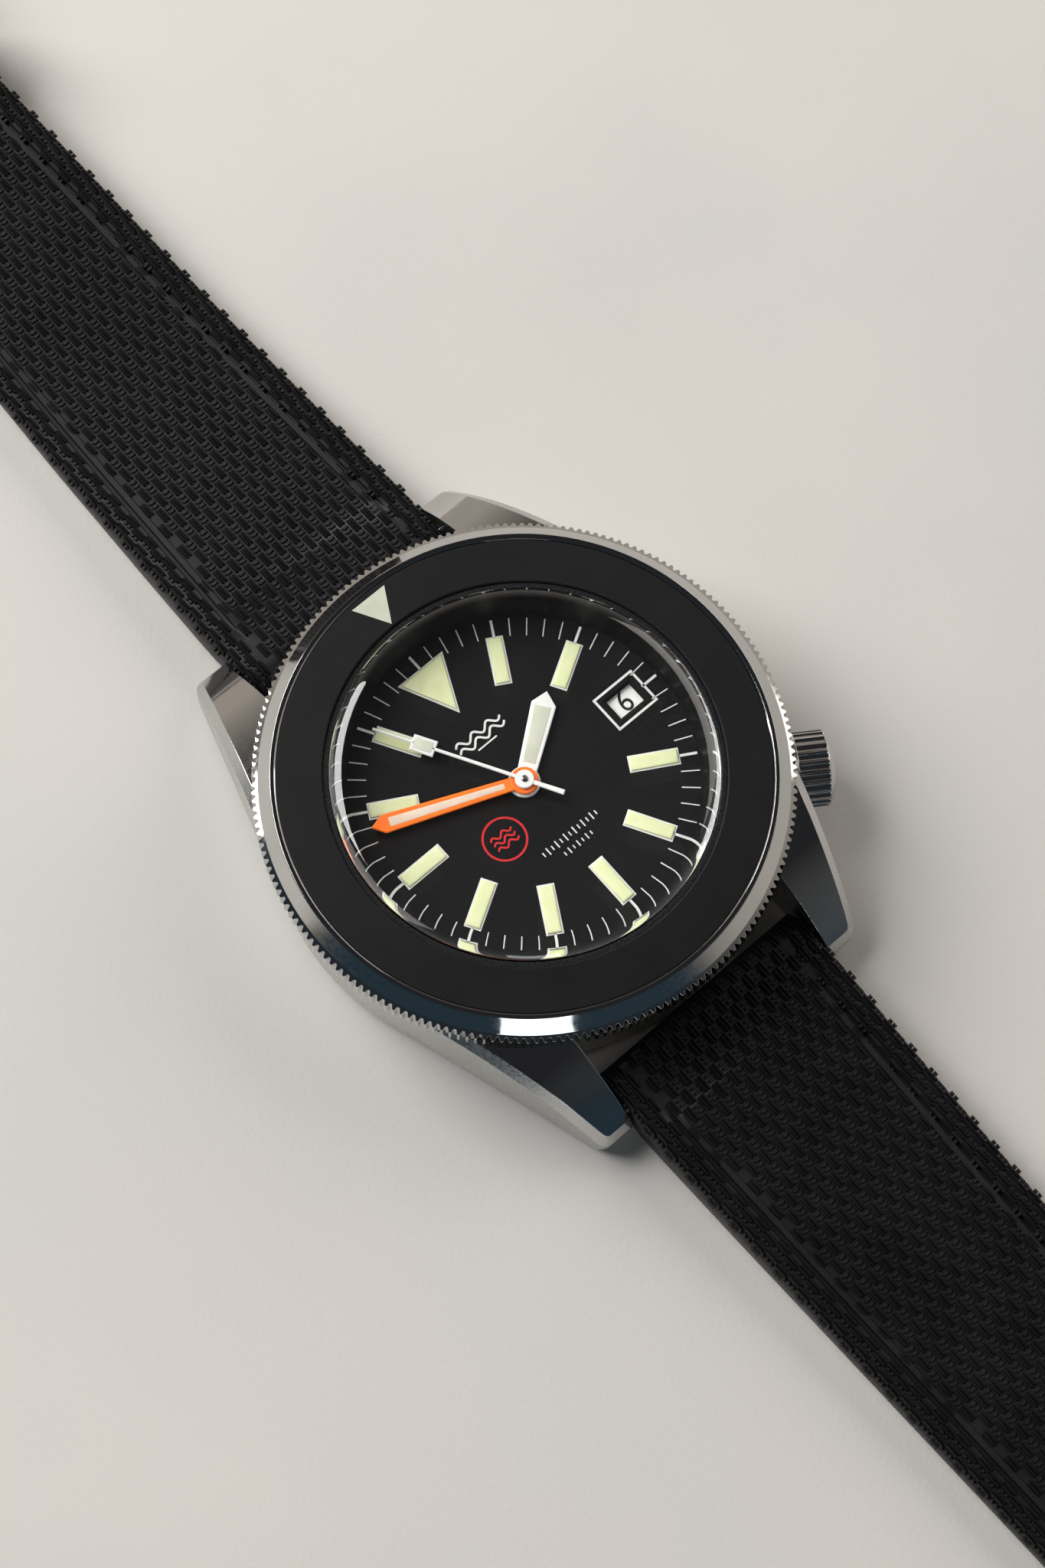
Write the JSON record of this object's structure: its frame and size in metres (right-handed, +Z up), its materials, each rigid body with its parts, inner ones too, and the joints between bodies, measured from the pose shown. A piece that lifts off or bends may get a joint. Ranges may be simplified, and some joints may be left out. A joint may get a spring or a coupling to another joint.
{
  "type": "dive watch",
  "caption": "Automatic dive watch laid flat: rotating bezel, domed crystal, black dial, offset screw crown and a basket-weave rubber strap with a pin buckle.",
  "frame": {"origin": "centre of the flat face of the case back", "axes": "+Z up through the crystal, +Y towards 12 o'clock and along the buckle half of the strap, +X towards 3 o'clock"},
  "size_m": [0.0411, 0.2486, 0.0129],
  "materials": {
    "case_steel": "polished and satin stainless steel",
    "black_rubber": "moulded seal rubber",
    "gasket_nylon": "translucent nylon",
    "crystal_glass": "clear domed mineral glass",
    "rehaut_black": "satin black",
    "insert_black": "matte black aluminium",
    "lume": "cream-green luminous paint",
    "dial_black": "black lacquer",
    "hand_white": "white enamel",
    "hand_orange": "orange enamel",
    "date_white": "white printed disc",
    "spring_steel": "hardened spring steel",
    "holder_plastic": "moulded nylon",
    "plate_brass": "nickel-plated brass",
    "bridge_nickel": "nickel-plated, striped",
    "ruby": "synthetic ruby",
    "blued_steel": "heat-blued",
    "gear_brass": "gilt brass",
    "wheel_steel": "polished steel",
    "rotor_steel": "brushed rotor",
    "strap_black": "black moulded rubber with a basket-weave face"
  },
  "bodies": {
    "case": {"mid_case": "case_steel", "case_back": "case_steel", "case_back_gasket": "black_rubber", "crown_tube": "case_steel", "crystal": "crystal_glass", "crystal_gasket": "gasket_nylon", "rehaut_ring": "rehaut_black", "bezel_gasket": "black_rubber", "bezel_click_spring": "spring_steel", "dial": "dial_black", "hour_markers": "lume", "movement_holder": "holder_plastic", "main_plate": "plate_brass", "barrel_bridge": "bridge_nickel", "train_bridge": "bridge_nickel", "balance_cock": "bridge_nickel", "jewels": "ruby", "movement_screws": "blued_steel", "spring_bar_12": "wheel_steel", "spring_bar_6": "wheel_steel"},
    "bezel": {"bezel_ring": "case_steel", "bezel_insert": "insert_black", "bezel_pip": "lume"},
    "seconds": {"fourth_wheel": "gear_brass", "second_hand": "hand_white"},
    "minutes": {"centre_wheel": "gear_brass", "cannon_pinion": "wheel_steel", "minute_hand": "hand_orange"},
    "hours": {"hour_wheel": "gear_brass", "hour_hand": "hand_white"},
    "minute_wheel": {"minute_wheel": "gear_brass"},
    "third_wheel": {"third_wheel": "gear_brass"},
    "escape_wheel": {"escape_wheel": "wheel_steel"},
    "pallet_fork": {"pallet_fork": "wheel_steel"},
    "balance": {"balance_wheel": "gear_brass", "hairspring": "blued_steel"},
    "barrel": {"barrel_drum": "gear_brass", "mainspring": "spring_steel"},
    "date_disc": {"date_disc": "date_white"},
    "rotor": {"rotor": "rotor_steel"},
    "winding_pinion": {"winding_pinion": "wheel_steel"},
    "crown": {"crown": "case_steel", "winding_stem": "wheel_steel", "crown_gasket": "black_rubber"},
    "sliding_pinion": {"sliding_pinion": "wheel_steel"},
    "setting_lever": {"setting_lever": "wheel_steel"},
    "crown_wheel": {"crown_wheel": "wheel_steel"},
    "ratchet_wheel": {"ratchet_wheel": "wheel_steel"},
    "click": {"click": "wheel_steel"},
    "strap_12": {"strap_12": "strap_black", "buckle_bar": "wheel_steel", "fixed_keeper": "strap_black"},
    "strap_6": {"strap_6": "strap_black"},
    "free_keeper": {"free_keeper": "strap_black"},
    "buckle": {"buckle_frame": "case_steel"},
    "tongue": {"buckle_tongue": "case_steel"},
    "spring_bar_12_tip": {"spring_bar_12_tip": "wheel_steel"},
    "spring_bar_6_tip": {"spring_bar_6_tip": "wheel_steel"}
  },
  "joints": [
    {"name": "bezel_turn", "type": "hinge", "parent": "case", "child": "bezel", "pos_m": [0, 0, 0.00905], "axis": [0, 0, 1], "continuous": true},
    {"name": "seconds_turn", "type": "hinge", "parent": "case", "child": "seconds", "pos_m": [0, 0, 0.0036], "axis": [0, 0, 1], "continuous": true},
    {"name": "minutes_turn", "type": "hinge", "parent": "case", "child": "minutes", "pos_m": [0, 0, 0.005], "axis": [0, 0, 1], "continuous": true},
    {"name": "hours_turn", "type": "hinge", "parent": "case", "child": "hours", "pos_m": [0, 0, 0.0066], "axis": [0, 0, 1], "continuous": true},
    {"name": "minute_wheel_turn", "type": "hinge", "parent": "case", "child": "minute_wheel", "pos_m": [-0.00282, -0.00103, 0.0064], "axis": [0, 0, 1], "continuous": true},
    {"name": "third_wheel_turn", "type": "hinge", "parent": "case", "child": "third_wheel", "pos_m": [-0.00312, 0.0018, 0.0039], "axis": [0, 0, 1], "continuous": true},
    {"name": "escape_wheel_turn", "type": "hinge", "parent": "case", "child": "escape_wheel", "pos_m": [-0.00182, -0.00315, 0.0044], "axis": [0, 0, 1], "continuous": true},
    {"name": "barrel_turn", "type": "hinge", "parent": "case", "child": "barrel", "pos_m": [0.00499, 0.00312, 0.0043], "axis": [0, 0, 1], "continuous": true},
    {"name": "date_disc_turn", "type": "hinge", "parent": "case", "child": "date_disc", "pos_m": [0, 0, 0.0066], "axis": [0, 0, 1], "continuous": true},
    {"name": "pallet_rock", "type": "hinge", "parent": "case", "child": "pallet_fork", "pos_m": [-0.00344, -0.00518, 0.0044], "axis": [0, 0, 1], "range_deg": [-5, 5]},
    {"name": "balance_swing", "type": "hinge", "parent": "case", "child": "balance", "pos_m": [-0.00493, -0.00704, 0.0039], "axis": [0, 0, 1], "range_deg": [-270, 270], "stiffness_Nm_per_rad": 0.0000005},
    {"name": "rotor_turn", "type": "hinge", "parent": "case", "child": "rotor", "pos_m": [0, 0, 0.0022], "axis": [0, 0, 1], "continuous": true},
    {"name": "crown_turn", "type": "hinge", "parent": "case", "child": "winding_pinion", "pos_m": [0, 0, 0.0044], "axis": [0.829, -0.5592, 0], "continuous": true},
    {"name": "crown_pull", "type": "slide", "parent": "winding_pinion", "child": "crown", "axis": [0.829, -0.5592, 0], "range_m": [0, 0.0016]},
    {"name": "sliding_pinion_shift", "type": "slide", "parent": "winding_pinion", "child": "sliding_pinion", "axis": [0.829, -0.5592, 0], "range_m": [-0.00064, 0]},
    {"name": "setting_lever_swing", "type": "hinge", "parent": "case", "child": "setting_lever", "pos_m": [0.0103, -0.00405, 0.0051], "axis": [0, 0, 1], "range_deg": [0, 37]},
    {"name": "crown_wheel_turn", "type": "hinge", "parent": "case", "child": "crown_wheel", "pos_m": [0.00471, -0.00318, 0.0027], "axis": [0, 0, 1], "continuous": true},
    {"name": "ratchet_wheel_turn", "type": "hinge", "parent": "case", "child": "ratchet_wheel", "pos_m": [0.00499, 0.00312, 0.0027], "axis": [0, 0, 1], "continuous": true},
    {"name": "click_rock", "type": "hinge", "parent": "case", "child": "click", "pos_m": [0.00405, 0.00844, 0.0027], "axis": [0, 0, 1], "range_deg": [0, 8], "stiffness_Nm_per_rad": 0.0000001},
    {"name": "strap_12_fold", "type": "hinge", "parent": "case", "child": "strap_12", "pos_m": [0, 0.0213, 0.0029], "axis": [1, 0, 0], "range_deg": [-80, 25]},
    {"name": "strap_6_fold", "type": "hinge", "parent": "case", "child": "strap_6", "pos_m": [0, -0.0213, 0.0029], "axis": [-1, 0, 0], "range_deg": [-80, 25]},
    {"name": "free_keeper_slide", "type": "slide", "parent": "strap_12", "child": "free_keeper", "axis": [0, 1, 0], "range_m": [-0.009, 0.003]},
    {"name": "buckle_turn", "type": "hinge", "parent": "strap_12", "child": "buckle", "pos_m": [0, 0.0965, 0.0023], "axis": [1, 0, 0], "range_deg": [-45, 45]},
    {"name": "tongue_turn", "type": "hinge", "parent": "buckle", "child": "tongue", "pos_m": [0, 0.0965, 0.0023], "axis": [1, 0, 0], "range_deg": [0, 80]},
    {"name": "spring_bar_12_press", "type": "slide", "parent": "case", "child": "spring_bar_12_tip", "axis": [-1, 0, 0], "range_m": [0, 0.0009], "stiffness_N_per_m": 300},
    {"name": "spring_bar_6_press", "type": "slide", "parent": "case", "child": "spring_bar_6_tip", "axis": [-1, 0, 0], "range_m": [0, 0.0009], "stiffness_N_per_m": 300}
  ],
  "couplings": [
    {"joint": "minutes_turn", "follows": "seconds_turn", "ratio": 0.016667},
    {"joint": "hours_turn", "follows": "seconds_turn", "ratio": 0.0013889},
    {"joint": "minute_wheel_turn", "follows": "seconds_turn", "ratio": -0.0055556},
    {"joint": "third_wheel_turn", "follows": "seconds_turn", "ratio": -0.13333},
    {"joint": "escape_wheel_turn", "follows": "seconds_turn", "ratio": -12},
    {"joint": "barrel_turn", "follows": "seconds_turn", "ratio": -0.0027778},
    {"joint": "date_disc_turn", "follows": "seconds_turn", "ratio": -0.000022401},
    {"joint": "sliding_pinion_shift", "follows": "crown_pull", "ratio": -0.4},
    {"joint": "setting_lever_swing", "follows": "crown_pull", "rad_per_m": 402.19},
    {"joint": "crown_wheel_turn", "follows": "crown_turn", "ratio": 0.5},
    {"joint": "ratchet_wheel_turn", "follows": "crown_turn", "ratio": -0.33333}
  ]
}
